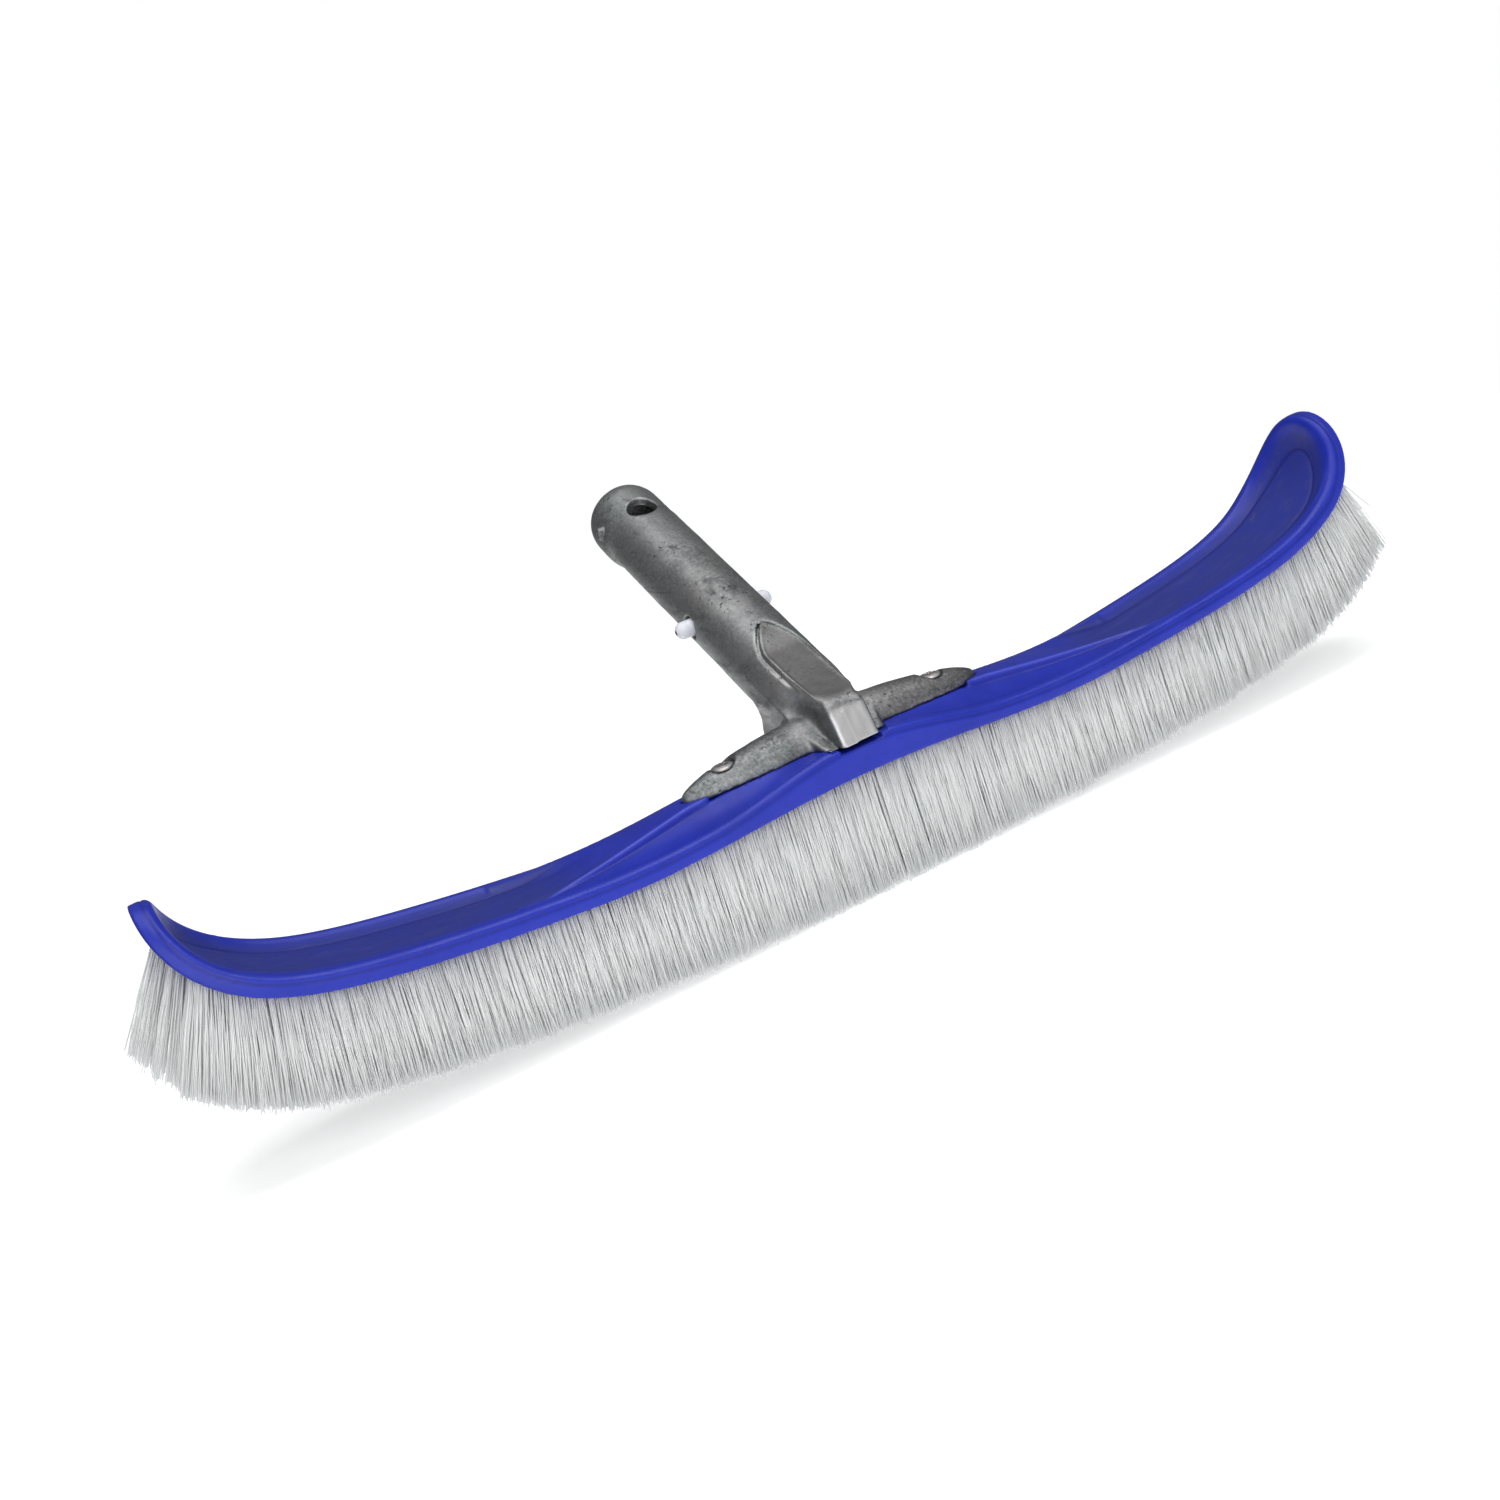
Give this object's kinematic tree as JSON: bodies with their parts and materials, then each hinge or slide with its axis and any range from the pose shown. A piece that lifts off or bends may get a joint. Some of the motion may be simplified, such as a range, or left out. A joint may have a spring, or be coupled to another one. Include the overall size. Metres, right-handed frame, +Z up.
{
  "type": "pool wall brush",
  "caption": "Pool wall brush: wide curved plastic back with curled-up ends, dense nylon bristles, and a cast aluminium pole handle with a sprung snap clip.",
  "frame": {"origin": "middle of the footprint box, on the plane of the bristle tips", "axes": "+X along the back, +Y the way the handle leans, +Z up from the bristle tips through the back"},
  "size_m": [0.4644, 0.1646, 0.139],
  "materials": {
    "back_blue": "satin royal blue moulded plastic",
    "cast_aluminium": "as-cast, mottled, with a brushed tab",
    "bristle_nylon": "pale translucent nylon filament",
    "clip_nylon": "milky white nylon",
    "screw_steel": "bright stainless steel"
  },
  "bodies": {
    "brush": {"back": "back_blue", "handle_casting": "cast_aluminium", "screw_left": "screw_steel", "screw_right": "screw_steel", "clip_bow": "clip_nylon", "tufts_row1_end_left": "bristle_nylon", "tufts_row1_bend_left": "bristle_nylon", "tufts_row1_side_left": "bristle_nylon", "tufts_row1_middle": "bristle_nylon", "tufts_row1_side_right": "bristle_nylon", "tufts_row1_bend_right": "bristle_nylon", "tufts_row1_end_right": "bristle_nylon", "tufts_row2_end_left": "bristle_nylon", "tufts_row2_bend_left": "bristle_nylon", "tufts_row2_side_left": "bristle_nylon", "tufts_row2_middle": "bristle_nylon", "tufts_row2_side_right": "bristle_nylon", "tufts_row2_bend_right": "bristle_nylon", "tufts_row2_end_right": "bristle_nylon", "tufts_row3_end_left": "bristle_nylon", "tufts_row3_bend_left": "bristle_nylon", "tufts_row3_side_left": "bristle_nylon", "tufts_row3_middle": "bristle_nylon", "tufts_row3_side_right": "bristle_nylon", "tufts_row3_bend_right": "bristle_nylon", "tufts_row3_end_right": "bristle_nylon", "tufts_row4_end_left": "bristle_nylon", "tufts_row4_bend_left": "bristle_nylon", "tufts_row4_side_left": "bristle_nylon", "tufts_row4_middle": "bristle_nylon", "tufts_row4_side_right": "bristle_nylon", "tufts_row4_bend_right": "bristle_nylon", "tufts_row4_end_right": "bristle_nylon", "tufts_row5_end_left": "bristle_nylon", "tufts_row5_bend_left": "bristle_nylon", "tufts_row5_side_left": "bristle_nylon", "tufts_row5_middle": "bristle_nylon", "tufts_row5_side_right": "bristle_nylon", "tufts_row5_bend_right": "bristle_nylon", "tufts_row5_end_right": "bristle_nylon"},
    "arm_left": {"clip_arm_left": "clip_nylon"},
    "arm_right": {"clip_arm_right": "clip_nylon"}
  },
  "joints": [
    {"name": "left_button_press", "type": "hinge", "parent": "brush", "child": "arm_left", "pos_m": [-0.008, -0.02598, 0.07368], "axis": [0, 0.4787, -0.878], "range_deg": [0, 9], "stiffness_Nm_per_rad": 3},
    {"name": "right_button_press", "type": "hinge", "parent": "brush", "child": "arm_right", "pos_m": [0.008, -0.02598, 0.07368], "axis": [0, -0.4787, 0.878], "range_deg": [0, 9], "stiffness_Nm_per_rad": 3}
  ]
}
